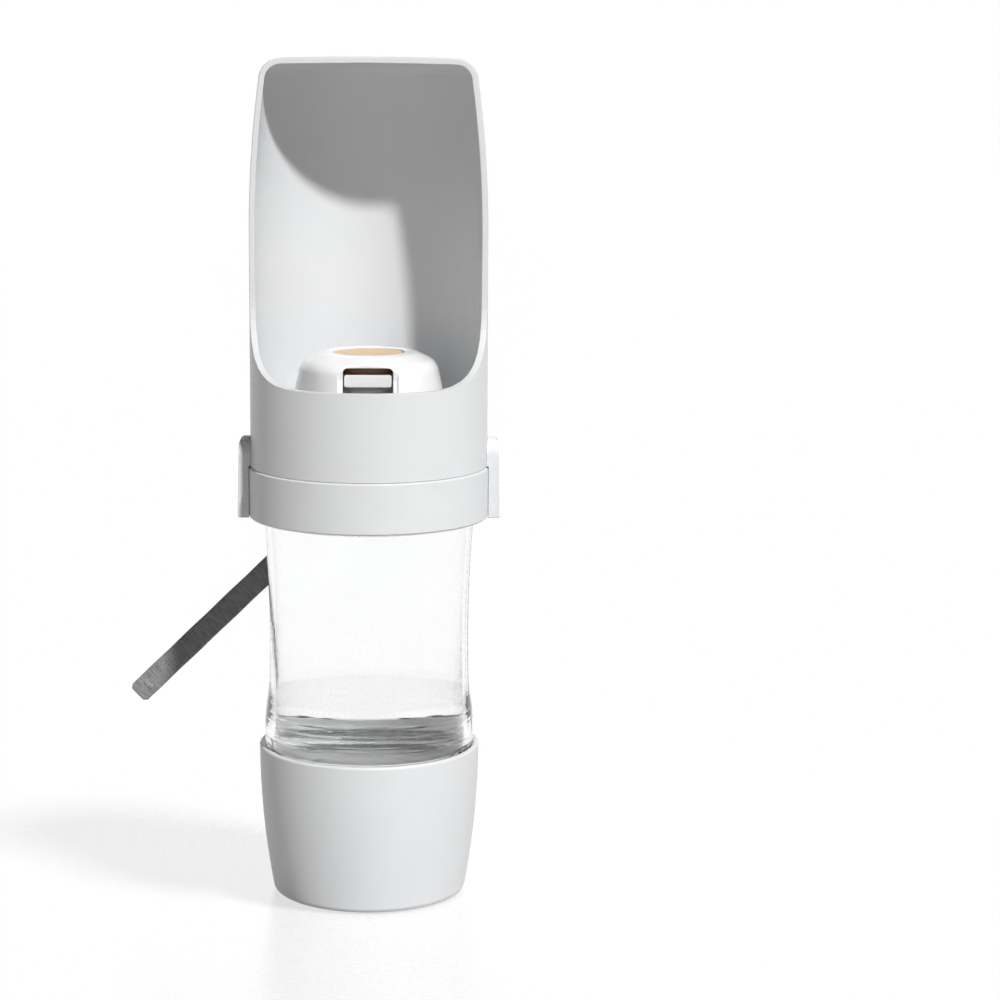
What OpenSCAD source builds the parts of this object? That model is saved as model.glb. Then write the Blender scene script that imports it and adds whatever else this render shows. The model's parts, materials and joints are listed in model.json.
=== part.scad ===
// Dog travel water bottle: a clear bottle that screws into a food cup, a collar lid with a
// push-button pouring stopper, and a lift-off drinking trough that clips over the collar.
// Millimetres. The origin is the middle of the cup's flat base, +Z is up, the trough opens to -Y.

/* [Food cup] */
// Height of the cup's rim above the floor
cup_h = 52.3; // [46:0.1:62]
// Thickness of the cup's side wall at the rim
cup_wall = 2; // [1.5:0.1:3]
// Thickness of the cup's floor
cup_floor = 2.4; // [1.5:0.1:4]
// Radius of the long convex curve of the cup's side
cup_side_curve = 280; // [200:10:600]
// Radius of the rounded edge under the cup
cup_edge = 2.4; // [1:0.1:4]
// Depth of the bottle's foot inside the cup
foot_depth = 11.3; // [8:0.1:15]
// Thickness of the silicone seal under the bottle's foot
cup_seal_t = 1.4; // [1:0.1:2.5]

/* [Clear bottle] */
// Outer radius of the bottle under the collar
shoulder_r = 35.9; // [32:0.1:42]
// Height of the bottle between the cup's rim and the collar
body_h = 79.6; // [60:0.1:120]
// Depth of the gentle waist of the bottle
waist_depth = 1.6; // [0:0.1:3]
// Height of the straight bead that stands on the cup's rim
bead_h = 6; // [4:0.5:9]
// How far the bead stands out past the shoulder
bead_swell = 0.15; // [0:0.05:0.5]
// Height over which the waist flares out to the bead
flare_h = 15; // [10:0.5:18]
// Thickness of the bottle's wall
bottle_wall = 2.2; // [1.4:0.1:3]
// Thickness of the bottle's clear base
base_t = 4.2; // [2.5:0.1:6]
// Height of the bottle's threaded neck above the shoulder
neck_h = 12.8; // [10:0.1:16]
// Step from the shoulder in to the neck
neck_step = 2.5; // [2:0.1:4]

/* [Collar lid] */
// Height of the collar's outer wall
collar_h = 17.4; // [16:0.1:24]
// Thickness of the collar's outer wall
collar_wall = 1.4; // [1.2:0.1:2.5]
// Thickness of the screw skirt inside the collar
skirt_wall = 2.3; // [1.8:0.1:3]
// Thickness of the deck and the web of the lid
deck_t = 2; // [1.5:0.1:2.6]
// Width of the ledge between the screw skirt and the groove for the trough
ledge_w = 1.8; // [1.5:0.1:4]
// Radius of the mouth that holds the stopper
mouth_r = 20.3; // [17:0.1:24]
// Thickness of the mouth's wall
mouth_wall = 2.7; // [2:0.1:3.5]
// Height of the mouth's rim above the deck
mouth_h = 6; // [5:0.1:9]
// Depth of the mouth's tube below the deck
mouth_depth = 9; // [6:0.1:12]
// Thickness of the gasket between the lid and the bottle's neck
lid_gasket_t = 1.6; // [1:0.1:2.5]

/* [Drinking trough] */
// Height of the trough above its seam with the collar
trough_h = 137.5; // [120:0.5:170]
// Thickness of the trough's wall
trough_wall = 1.8; // [1.5:0.1:3]
// Step from the collar's face in to the trough's face
trough_step = 0.6; // [0.2:0.05:0.9]
// Height of the front rim above the seam
front_rim_h = 29.7; // [24:0.1:50]
// Distance from the axis forward to the upright edges of the opening
opening_front = 5.5; // [0:0.5:8]
// Radius of the bend between the upright edges and the front rim
opening_bend = 28; // [10:0.5:30]
// Height above the seam where the sides start to lean in
lean_start = 78.7; // [60:0.5:90]
// Radius of the long curve of the sides
lean_curve = 380; // [300:10:700]
// Outer radius of the rounded top edge
top_edge = 7.3; // [4:0.1:12]
// Length of the spigot that drops into the collar's groove
spigot_l = 4; // [3:0.1:4.2]
// Thickness of the spigot
spigot_wall = 1.05; // [0.8:0.05:1.6]

/* [Side clips] */
// Width of each clip
clip_w = 12; // [8:0.5:16]
// Height of each clip above the seam
clip_rise = 10; // [8:0.5:16]
// Distance that each clip stands out past the collar at its foot
clip_out = 3.6; // [2.5:0.1:5]
// Inward draft of the clip's outer face at its top
clip_draft = 0.5; // [0:0.1:1]
// Radius of the clip's rounded shoulder
clip_shoulder = 2.4; // [1:0.1:2.4]
// Width of the guide key on the clip's inner face
key_w = 3; // [2:0.1:5]

/* [Stopper] */
// Outer radius of the stopper's skirt
stopper_r = 25.6; // [24:0.1:30]
// Thickness of the stopper's shell
stopper_wall = 1.8; // [1.2:0.1:2.2]
// Height of the stopper's shell
stopper_h = 35.4; // [34:0.1:42]
// Height of the shell's straight skirt
stopper_skirt_h = 21; // [16:0.1:23]
// Widest radius of the shell's shoulder
shoulder_ring_r = 23.8; // [22.5:0.1:24]
// Radius of the shoulder's rounding
shoulder_round = 5.6; // [4:0.1:6]
// Radius of the crown's crest, a ring round the dished hole for the button
crest_r = 14.2; // [13:0.1:15]
// Radius of the crest's rounding
crest_round = 7; // [5:0.1:9]
// Slope of the crown from its crest down to the shoulder
crown_tilt = 25; // [15:1:30]
// Width of the pouring window
window_w = 16.8; // [10:0.1:18]
// Height of the pouring window's top edge above the shell's foot
window_top = 32; // [30:0.1:32.4]
// Height of the pouring window's sill above the shell's foot
window_sill = 18; // [14:0.5:22]
// Width of the flat frame round the pouring window
window_frame = 1.7; // [1:0.1:3]
// Depth of the frame's flat at its outer edges
frame_recess = 0.4; // [0.2:0.05:0.7]
// Length of the threaded core below its flange
core_l = 19; // [15:0.1:21]
// Radius of the port that the valve closes
port_r = 8; // [5:0.1:10]

/* [Button and valve] */
// Radius of the button's visible disc
button_r = 11.9; // [8:0.1:13]
// Travel of the button
button_travel = 3; // [1:0.1:4]
// Depth of the button's face below the crown's crest
button_recess = 0.5; // [0.2:0.1:1]
// Radius of the button's hidden flange
button_flange_r = 17.8; // [15:0.1:18.2]
// Height of the white carrier under the button
carrier_h = 4.1; // [3:0.1:5]
// Room on each side of the carrier's tab in the pouring window
tab_gap = 0.4; // [0.2:0.1:1]
// Radius of the valve stem
stem_r = 2.5; // [1.8:0.1:3]
// Thickness of the silicone valve disc
valve_t = 2.6; // [1.5:0.1:3.5]
// Radius of the valve disc past the port's edge
valve_lap = 2.2; // [1:0.1:3]
// Radius of the spring's wire
wire_r = 0.5; // [0.3:0.05:0.7]
// Radius of the spring's coil to the middle of its wire
coil_r = 6.2; // [5.6:0.1:8]
// Number of turns of the spring
coil_turns = 6; // [4:1:9]

/* [Wrist strap] */
// Width of the strap
strap_w = 8; // [6:0.5:12]
// Thickness of the doubled strap
strap_t = 2.4; // [1.6:0.1:3.6]
// Length from the rivet's middle to the strap's tip
strap_l = 117; // [80:1:125]
// Angle of the strap below level in its stored pose
strap_angle = 44; // [20:1:80]
// Height of the rivet above the collar's lower edge
rivet_rise = 7.7; // [6:0.1:8]
// Radius of the rivet's shaft
rivet_r = 1.5; // [1:0.1:2]
// Radius of the rivet's cap
rivet_cap_r = 3.6; // [3:0.1:4.4]

/* [Fits] */
// Radial room between the plain walls of a screwed pair
thread_gap = 0.45; // [0.3:0.05:0.8]
// Room between sliding or seated pieces of different bodies
slide_gap = 0.3; // [0.2:0.05:0.4]
// Room between a side clip and the collar that it grips
clip_gap = 0.15; // [0.1:0.05:0.3]
// Radial room of a running shaft in its bore
run_gap = 0.08; // [0.03:0.01:0.1]
// Room between pieces that are fixed to each other
seat_gap = 0.03; // [0.01:0.01:0.08]

/* [Hidden] */
$fn = 96;

// Heights of the main levels
collar_z = cup_h + body_h;
seam_z = collar_z + collar_h;
top_z = seam_z + trough_h;
front_rim_z = seam_z + front_rim_h;

// Bottle
foot_r = shoulder_r - thread_gap;
foot_z = cup_h - foot_depth;
foot_wall = bottle_wall + 0.2;
base_dish = 1.2;
bottle_edge = 0.4;
bead_r = shoulder_r + bead_swell;
bead_z = cup_h + seat_gap;
flare_foot_z = cup_h + bead_h;
flare_top_z = flare_foot_z + flare_h;
waist_share = 0.48;
waist_z = cup_h + body_h * waist_share;
waist_r = shoulder_r - waist_depth;
shoulder_drop = 1;
waist_top_z = collar_z - shoulder_drop;
waist_curve = (pow(waist_top_z - waist_z, 2) + pow(waist_depth, 2)) / (2 * max(waist_depth, 0.01));
neck_r = shoulder_r - neck_step;
neck_z = collar_z + 1.6;
neck_top_z = neck_z + neck_h;

// Cup
cup_bore_r = foot_r + thread_gap;
cup_rim_r = cup_bore_r + cup_wall;
cup_ledge_z = foot_z - cup_seal_t - seat_gap;
cup_ledge_w = 1.6;
seal_inset = 0.1;
gasket_lap = 0.8;

// Collar lid, from the neck outwards
skirt_in = neck_r + thread_gap;
skirt_out = skirt_in + skirt_wall;
groove_in = skirt_out + ledge_w;
spigot_in = groove_in + slide_gap;
spigot_out = spigot_in + spigot_wall;
groove_out = spigot_out + slide_gap;
collar_r = groove_out + collar_wall;
deck_under_z = neck_top_z + lid_gasket_t;
deck_z = deck_under_z + deck_t;
groove_z = seam_z - spigot_l - slide_gap;
mouth_out = mouth_r + mouth_wall;
mouth_top_z = deck_z + mouth_h;
mouth_foot_z = deck_under_z - mouth_depth;
collar_edge = 0.45;

// Trough
trough_r = collar_r - trough_step;
trough_in = spigot_in;
trough_foot_edge = 0.15;

// Clips
clip_clear_r = collar_r + clip_gap;
clip_face_x = collar_r + clip_out;
clip_top_z = seam_z + clip_rise;
key_in = groove_out + slide_gap;

// Stopper
stopper_gasket_t = 1.4;
flange_under_z = mouth_top_z + stopper_gasket_t;
flange_t = 2.2;
flange_top_z = flange_under_z + flange_t;
shell_skirt_drop = 4.2;
shell_z = flange_under_z - shell_skirt_drop;
shell_top_z = shell_z + stopper_h;
shell_in = stopper_r - stopper_wall;
button_hole_r = button_r + slide_gap;
crest_z = shell_top_z - crest_round;
shoulder_x = shoulder_ring_r - shoulder_round;
shoulder_z = crest_z + (crest_round - shoulder_round) / cos(crown_tilt)
    - (shoulder_x - crest_r) * tan(crown_tilt);
core_r = mouth_r - thread_gap;
core_wall = 2.2;
core_edge = 0.8;
core_z = flange_under_z - core_l;
seat_t = 2;
hub_r = 4.6;
spoke_rise = 9;
spoke_z = core_z + spoke_rise;
spoke_w = 2;
spoke_h = 5;
spoke_root = 0.5;
spoke_in = (hub_r + stem_r) / 2;
hub_foot = 0.7;
hub_z = spoke_z - hub_foot;

// Button and valve
button_face_z = shell_top_z - button_recess;
flange_drop = 0.4;
flange_roof_z = shell_z + window_top - flange_drop;
button_flange_t = 2;
carrier_top_z = flange_roof_z - button_flange_t - seat_gap;
carrier_z = carrier_top_z - carrier_h;
hub_top_z = carrier_z - button_travel - slide_gap;
stem_socket = 2.4;
stem_end_r = stem_r - 0.8;
disc_bevel = 1.2;
valve_top_z = core_z - seat_gap;
valve_z = valve_top_z - valve_t;
valve_r = port_r + valve_lap;
nut_h = 1.8;
nut_r = 4.2;
spring_z = spoke_z + spoke_h + seat_gap;
spring_top_z = carrier_z - seat_gap;
closed_turn = 0.75;
closed_pitch = 2.2;

// Strap and rivet
rivet_z = collar_z + rivet_rise;
boss_r = 4;
boss_h = 0.8;
boss_root = 0.5;
boss_y = collar_r + boss_h;
washer_t = 0.6;
washer_r = boss_r - 0.2;
strap_y = boss_y + washer_t + slide_gap;
strap_back_y = strap_y + strap_t;
cap_y = strap_back_y + slide_gap;
cap_t = 1.7;
cap_skin = 0.8;
rivet_root = 3.4;
rivet_root_y = collar_r - rivet_root;

// Points of an arc about centre c from angle a to angle b
function arc(c, r, a, b, steps = 8) =
    [for (i = [0 : steps]) c + r * [cos(a + (b - a) * i / steps), sin(a + (b - a) * i / steps)]];

// Radius of the cup's outer side at height z
function cup_side(z) = cup_rim_r - cup_side_curve + sqrt(pow(cup_side_curve, 2) - pow(cup_h - z, 2));

// Radius of the bottle's waisted side at height z
function waist_side(z) = waist_r + waist_curve - sqrt(pow(waist_curve, 2) - pow(z - waist_z, 2));

// Share of the flare at height z, from 0 at its top to 1 at its foot
function flare(z) =
    let (t = min(max((flare_top_z - z) / flare_h, 0), 1))
    pow(t, 2) * (3 - 2 * t);

// Radius of the trough's outer side at height z
function trough_side(z) =
    z < seam_z + lean_start ? trough_r
    : trough_r - lean_curve + sqrt(pow(lean_curve, 2) - pow(z - seam_z - lean_start, 2));

// A plain ring between two radii
module ring(outer, inner, low, high) {
    translate([0, 0, low])
        difference() {
            cylinder(r = outer, h = high - low);
            translate([0, 0, -1])
                cylinder(r = inner, h = high - low + 2);
        }
}

// A rod or disc along +Y
module rod_y(r, from_y, to_y) {
    translate([0, from_y, 0])
        rotate([-90, 0, 0])
            cylinder(r = r, h = to_y - from_y);
}

// Places its children at the strap's rivet
module at_rivet() {
    translate([0, 0, rivet_z])
        children();
}

// Cup: convex side, rounded foot, screw bore at the top and a ledge for the seal
module food_cup() {
    side_steps = 12;
    rim_edge = 0.8;
    bore_edge = 0.4;
    ledge_t = 1;
    foot_side_r = cup_side(cup_edge);
    inner_edge = 5;
    inner_low_z = cup_floor + inner_edge;
    inner_foot_r = cup_side(inner_low_z) - cup_wall;
    ledge_r = cup_bore_r - cup_ledge_w;
    outer = [for (i = [0 : side_steps])
        let (z = cup_edge + (cup_h - rim_edge - cup_edge) * i / side_steps) [cup_side(z), z]];
    inner = [for (i = [side_steps : -1 : 0])
        let (z = inner_low_z + (cup_ledge_z - ledge_t - inner_low_z) * i / side_steps)
        [min(cup_side(z) - cup_wall, ledge_r), z]];
    color("gainsboro")
        rotate_extrude()
            polygon(concat(
                [[0, 0]],
                arc([foot_side_r - cup_edge, cup_edge], cup_edge, -90, 0, 6),
                outer,
                arc([cup_rim_r - rim_edge, cup_h - rim_edge], rim_edge, 0, 90, 4),
                [[cup_bore_r + bore_edge, cup_h], [cup_bore_r, cup_h - bore_edge]],
                [[cup_bore_r, cup_ledge_z], [ledge_r, cup_ledge_z]],
                inner,
                arc([inner_foot_r - inner_edge, inner_low_z], inner_edge, 0, -90, 6),
                [[0, cup_floor]]));
}

// Silicone seal between the bottle's foot and the cup's ledge
module cup_seal() {
    color("white")
        ring(cup_bore_r - slide_gap, cup_bore_r - cup_ledge_w + seal_inset,
            cup_ledge_z + seat_gap, foot_z - seat_gap);
}

// Clear bottle: foot, bead, waisted wall, shoulder and neck
module bottle_body() {
    side_steps = 24;
    inner_floor_z = foot_z + base_t;
    inner_foot_r = foot_r - foot_wall;
    inner_edge = 4;
    dish_slope = 2;
    neck_in = neck_r - bottle_wall;
    neck_round = 0.8;
    levels = [for (i = [0 : side_steps]) flare_foot_z + (waist_top_z - flare_foot_z) * i / side_steps];
    side = [for (z = levels) [waist_side(z) + (bead_r - waist_side(z)) * flare(z), z]];
    inner_side = [for (i = [side_steps : -1 : 0])
        let (z = levels[i], wall_r = waist_side(z) - bottle_wall)
        [wall_r + (inner_foot_r - wall_r) * flare(z), z]];
    color("aliceblue", 0.35)
        rotate_extrude()
            polygon(concat(
                [[0, foot_z + base_dish], [inner_foot_r - dish_slope, foot_z + base_dish]],
                [[inner_foot_r, foot_z], [foot_r - bottle_edge, foot_z], [foot_r, foot_z + bottle_edge]],
                [[foot_r, bead_z], [bead_r - bottle_edge, bead_z], [bead_r, bead_z + bottle_edge]],
                side,
                [[shoulder_r - bottle_edge, collar_z]],
                [[neck_r + neck_round, neck_z - bottle_edge], [neck_r, neck_z]],
                [[neck_r, neck_top_z], [neck_in, neck_top_z], [neck_in, neck_z - bottle_edge]],
                inner_side,
                [[inner_foot_r, inner_floor_z + inner_edge]],
                arc([inner_foot_r - inner_edge, inner_floor_z + inner_edge], inner_edge, 0, -90, 6),
                [[0, inner_floor_z]]));
}

// Gasket between the bottle's neck and the lid
module lid_gasket() {
    color("white")
        ring(neck_r, neck_r - bottle_wall - gasket_lap, neck_top_z + seat_gap,
            deck_under_z - seat_gap);
}

// Lid: collar, screw skirt, groove for the trough, deck, mouth and the strap's boss
module collar_lid() {
    rim_z = seam_z - seat_gap;
    color("gainsboro")
        difference() {
            union() {
                rotate_extrude()
                    polygon([
                        [skirt_in, neck_z + slide_gap], [skirt_out, neck_z + slide_gap],
                        [skirt_out, groove_z - deck_t], [groove_out, groove_z - deck_t],
                        [groove_out, collar_z], [collar_r - collar_edge, collar_z],
                        [collar_r, collar_z + collar_edge], [collar_r, rim_z - collar_edge],
                        [collar_r - collar_edge, rim_z], [groove_out, rim_z],
                        [groove_out, groove_z], [groove_in, groove_z],
                        [groove_in, deck_z], [mouth_out, deck_z],
                        [mouth_out, mouth_top_z], [mouth_r, mouth_top_z],
                        [mouth_r, mouth_foot_z], [mouth_out, mouth_foot_z],
                        [mouth_out, deck_under_z], [skirt_in, deck_under_z]]);
                at_rivet()
                    rod_y(boss_r, skirt_out - boss_root, boss_y);
            }
            // Guide slots for the clips' keys
            for (side = [0, 180])
                rotate([0, 0, side])
                    translate([groove_out, -key_w / 2 - slide_gap, collar_z - 1])
                        cube([collar_wall + 1, key_w + 2 * slide_gap, collar_h + 2]);
            // Hole for the strap's rivet
            at_rivet()
                rod_y(rivet_r + seat_gap, rivet_root_y, boss_y + 1);
        }
}

// Trough: closed top, high back, low front rim and a spigot at its foot
module trough() {
    side_steps = 12;
    corner_z = top_z - top_edge;
    corner_r = trough_side(corner_z);
    inner_edge = top_edge - trough_wall;
    crown = 0.5;
    lean_z = seam_z + lean_start;
    side = [for (i = [0 : side_steps])
        let (z = lean_z + (corner_z - lean_z) * i / side_steps) [trough_side(z), z]];
    inner_side = [for (i = [side_steps : -1 : 0])
        let (z = lean_z + (corner_z - lean_z) * i / side_steps) [trough_side(z) - trough_wall, z]];
    color("gainsboro")
        difference() {
            rotate_extrude()
                polygon(concat(
                    [[spigot_in, seam_z - spigot_l], [spigot_out, seam_z - spigot_l]],
                    [[spigot_out, seam_z + seat_gap], [trough_r - trough_foot_edge, seam_z + seat_gap]],
                    [[trough_r, seam_z + seat_gap + trough_foot_edge]],
                    side,
                    arc([corner_r - top_edge, corner_z], top_edge, 5, 90, 9),
                    [[0, top_z + crown], [0, top_z + crown - trough_wall]],
                    arc([corner_r - top_edge, corner_z], inner_edge, 90, 5, 7),
                    inner_side,
                    [[trough_in, seam_z + spigot_l]]));
            front_opening();
        }
}

// The space cut out of the trough's front, seen from the side
module front_opening() {
    bend_y = -opening_front - opening_bend;
    reach = trough_r + 10;
    translate([reach, 0, 0])
        rotate([90, 0, -90])
            linear_extrude(height = 2 * reach)
                polygon(concat(
                    arc([-bend_y, front_rim_z + opening_bend], opening_bend, -90, -180, 12),
                    [[opening_front, top_z + 10], [reach, top_z + 10], [reach, front_rim_z]]));
}

// Side clip on +X: follows the trough above the seam and stands clear of the collar below it
module side_clip() {
    half = clip_w / 2;
    foot_x = key_in;
    head_x = clip_face_x - clip_draft;
    foot_edge = 0.4;
    key_end = 0.5;
    blank_x = foot_x - 5;
    color("gainsboro")
        difference() {
            intersection() {
                // Outline from the side, with a round head
                translate([blank_x - 1, 0, 0])
                    rotate([90, 0, 90])
                        linear_extrude(height = clip_face_x - blank_x + 2)
                            union() {
                                translate([-half, collar_z])
                                    square([clip_w, clip_top_z - half - collar_z]);
                                translate([0, clip_top_z - half])
                                    circle(r = half);
                            }
                // Outline from the front, with draft and a round shoulder
                translate([0, half + 1, 0])
                    rotate([90, 0, 0])
                        linear_extrude(height = clip_w + 2)
                            polygon(concat(
                                [[blank_x, collar_z], [clip_face_x - foot_edge, collar_z]],
                                [[clip_face_x, collar_z + foot_edge]],
                                arc([head_x - clip_shoulder, clip_top_z - clip_shoulder],
                                    clip_shoulder, 0, 90, 6),
                                [[blank_x, clip_top_z]]));
            }
            // Bonded face on the trough
            translate([0, 0, seam_z - 1])
                cylinder(r = trough_r + seat_gap, h = clip_rise + 2);
            // Room round the collar, with the guide key left standing
            difference() {
                translate([0, 0, collar_z - 1])
                    cylinder(r = clip_clear_r, h = collar_h + 1 + slide_gap);
                translate([key_in, -key_w / 2, collar_z + key_end])
                    cube([clip_clear_r - key_in + 1, key_w, collar_h - 2 * key_end]);
            }
        }
}

module clip_right() {
    side_clip();
}

module clip_left() {
    mirror([1, 0, 0])
        side_clip();
}

// Flat gasket between the mouth's rim and the stopper's flange
module stopper_gasket() {
    color("white")
        ring(mouth_out, mouth_r - seal_inset, mouth_top_z + seat_gap, flange_under_z - seat_gap);
}

// Core: screw tube, flange, valve seat, and a hub on three spokes that guides the stem
module stopper_core() {
    color("white")
        difference() {
            union() {
                rotate_extrude()
                    polygon([
                        [port_r, core_z], [core_r - core_edge, core_z], [core_r, core_z + core_edge],
                        [core_r, flange_under_z], [shell_in - seat_gap, flange_under_z],
                        [shell_in - seat_gap, flange_top_z], [core_r - core_wall, flange_top_z],
                        [core_r - core_wall, core_z + seat_t], [port_r, core_z + seat_t]]);
                translate([0, 0, hub_z])
                    cylinder(r = hub_r, h = hub_top_z - hub_z);
                for (turn = [90 : 120 : 330])
                    rotate([0, 0, turn])
                        translate([spoke_in, -spoke_w / 2, spoke_z])
                            cube([core_r - core_wall + spoke_root - spoke_in, spoke_w, spoke_h]);
            }
            translate([0, 0, hub_z - 1])
                cylinder(r = stem_r + run_gap, h = hub_top_z - hub_z + 2);
        }
}

// Half section of the stopper's shell, offset inwards by inset: skirt, shoulder, crown and the
// crest that dips to the button
function shell_profile(inset) = concat(
    [[stopper_r - inset, shell_z], [stopper_r - inset, shell_z + stopper_skirt_h]],
    arc([shoulder_x, shoulder_z], shoulder_round - inset, 10, 90 - crown_tilt, 8),
    arc([crest_r, crest_z], crest_round - inset,
        90 - crown_tilt, 90 + asin((crest_r - button_hole_r) / (crest_round - inset)), 6));

// Depth of a flat that cuts a round wall of radius r to the width of the window's frame
function frame_flat(r) = sqrt(pow(r, 2) - pow(window_w / 2 + window_frame, 2)) - frame_recess;

// Shell: flared skirt, soft shoulder, round hole for the button and the pouring window
module stopper_shell() {
    outer = shell_profile(0);
    inner = shell_profile(stopper_wall);
    color("white")
        difference() {
            rotate_extrude()
                polygon(concat(outer, [for (i = [len(inner) - 1 : -1 : 0]) inner[i]]));
            frame_cut();
            window_hole();
        }
}

// Flat frame round the window, leaning with the flare
module frame_cut() {
    frame_w = window_w + 2 * window_frame;
    low = shell_z + window_sill - window_frame;
    high = shell_z + window_top + window_frame;
    front = stopper_r + 5;
    translate([-frame_w / 2, 0, 0])
        rotate([90, 0, 90])
            linear_extrude(height = frame_w)
                polygon([
                    [-frame_flat(stopper_r), low], [-frame_flat(stopper_r), shell_z + stopper_skirt_h],
                    [-frame_flat(shoulder_ring_r), shoulder_z], [-frame_flat(shoulder_ring_r), high],
                    [-front, high], [-front, low]]);
}

// Pouring window with rounded upper corners
module window_hole() {
    corner = 1.6;
    reach_in = 8;
    reach_out = 4;
    translate([0, -stopper_r + stopper_wall + reach_in, shell_z])
        rotate([90, 0, 0])
            linear_extrude(height = stopper_wall + reach_in + reach_out)
                polygon(concat(
                    [[-window_w / 2, window_sill], [window_w / 2, window_sill]],
                    arc([window_w / 2 - corner, window_top - corner], corner, 0, 90, 5),
                    arc([-window_w / 2 + corner, window_top - corner], corner, 90, 180, 5)));
}

// Button: round face that fills the shell's hole, and a wide hidden flange
module push_button() {
    edge = 0.5;
    color("burlywood")
        rotate_extrude()
            polygon([
                [0, carrier_top_z + seat_gap], [button_flange_r, carrier_top_z + seat_gap],
                [button_flange_r, flange_roof_z], [button_r, flange_roof_z],
                [button_r, button_face_z - edge], [button_r - edge, button_face_z],
                [0, button_face_z]]);
}

// White carrier under the button: a ring on a plate, the stem's socket, and the tab that
// shows in the pouring window
module valve_carrier() {
    ring_w = 1.8;
    plate_t = 1.6;
    rim_inset = 0.2;
    rim_r = button_flange_r - rim_inset;
    socket_wall = 2;
    socket_r = stem_r + socket_wall;
    tab_half = window_w / 2 - tab_gap;
    tab_y = sqrt(pow(shoulder_ring_r - stopper_wall - slide_gap, 2) - pow(tab_half, 2));
    corner = 0.8;
    color("white") {
        rotate_extrude()
            polygon([
                [stem_r + seat_gap, carrier_z], [socket_r, carrier_z],
                [socket_r, carrier_top_z - plate_t], [rim_r - ring_w, carrier_top_z - plate_t],
                [rim_r - ring_w, carrier_z], [rim_r, carrier_z], [rim_r, carrier_top_z],
                [0, carrier_top_z], [0, carrier_z + stem_socket + seat_gap],
                [stem_r + seat_gap, carrier_z + stem_socket + seat_gap]]);
        difference() {
            translate([0, 0, carrier_z])
                rotate([90, 0, 0])
                    linear_extrude(height = tab_y)
                        polygon(concat(
                            arc([tab_half - corner, carrier_h - corner], corner, 0, 90, 4),
                            arc([-tab_half + corner, carrier_h - corner], corner, 90, 180, 4),
                            arc([-tab_half + corner, corner], corner, 180, 270, 4),
                            arc([tab_half - corner, corner], corner, 270, 360, 4)));
            translate([0, 0, carrier_z - 1])
                cylinder(r = rim_r - ring_w / 2, h = carrier_h + 2);
        }
    }
}

// Stem: joins the carrier to the valve disc, with a reduced end for the nut
module valve_stem() {
    color("silver") {
        translate([0, 0, valve_top_z + seat_gap])
            cylinder(r = stem_r, h = carrier_z + stem_socket - valve_top_z - seat_gap);
        translate([0, 0, valve_z - nut_h])
            cylinder(r = stem_end_r, h = valve_t + nut_h + 2 * seat_gap);
    }
}

// Silicone disc that closes the port from below
module valve_disc() {
    color("white")
        rotate_extrude()
            polygon([
                [stem_end_r + seat_gap, valve_z], [valve_r - disc_bevel, valve_z],
                [valve_r, valve_z + disc_bevel], [valve_r, valve_top_z],
                [stem_end_r + seat_gap, valve_top_z]]);
}

// Hexagon nut that holds the disc on the stem
module valve_nut() {
    color("silver")
        difference() {
            translate([0, 0, valve_z - nut_h])
                cylinder(r = nut_r, h = nut_h - seat_gap, $fn = 6);
            translate([0, 0, valve_z - nut_h - 1])
                cylinder(r = stem_end_r + seat_gap, h = nut_h + 2);
        }
}

// Point on the spring's centre line, t from 0 to 1, with flat closed ends
function coil_point(t) =
    let (turn = t * coil_turns,
         low = spring_z + wire_r,
         high = spring_top_z - wire_r,
         dead = closed_turn / coil_turns,
         climb = min(max((t - dead) / (1 - 2 * dead), 0), 1),
         closed = closed_pitch * wire_r,
         sweep = t < dead ? closed * t / dead - closed : t > 1 - dead ? closed * (t - 1 + dead) / dead : 0)
    [coil_r * cos(360 * turn), coil_r * sin(360 * turn),
        low + closed + sweep + (high - low - 2 * closed) * climb];

// Return spring: one wire swept along the coil
module return_spring() {
    sides = 6;
    rings = coil_turns * 16;
    color("silver")
        polyhedron(
            points = [for (i = [0 : rings], k = [0 : sides - 1])
                let (p = coil_point(i / rings),
                     a = 360 * coil_turns * i / rings,
                     b = 360 * k / sides)
                p + wire_r * [cos(b) * cos(a), cos(b) * sin(a), sin(b)]],
            faces = concat(
                [[for (k = [0 : sides - 1]) k]],
                [for (i = [0 : rings - 1], k = [0 : sides - 1], half = [0, 1])
                    let (a = i * sides + k,
                         b = i * sides + (k + 1) % sides,
                         c = a + sides,
                         d = b + sides)
                    half == 0 ? [a, c, d] : [a, d, b]],
                [[for (k = [sides - 1 : -1 : 0]) rings * sides + k]]));
}

// Rivet's shaft, fixed in the collar's boss
module strap_rivet() {
    color("dimgray")
        at_rivet()
            rod_y(rivet_r, rivet_root_y + seat_gap, cap_y + cap_t - cap_skin - seat_gap);
}

// Thin washer that keeps the strap off the boss
module strap_washer() {
    color("dimgray")
        at_rivet()
            difference() {
                rod_y(washer_r, boss_y + seat_gap, boss_y + washer_t);
                rod_y(rivet_r + seat_gap, boss_y - 1, boss_y + washer_t + 1);
            }
}

// Domed cap pressed onto the rivet's end
module rivet_cap() {
    edge = 0.7;
    dome = 0.2;
    color("dimgray")
        at_rivet()
            rotate([-90, 0, 0])
                translate([0, 0, cap_y])
                    rotate_extrude()
                        polygon([
                            [rivet_r + seat_gap, 0], [rivet_cap_r, 0],
                            [rivet_cap_r, cap_t - edge], [rivet_cap_r - edge, cap_t],
                            [0, cap_t + dome], [0, cap_t - cap_skin],
                            [rivet_r + seat_gap, cap_t - cap_skin]]);
}

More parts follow.
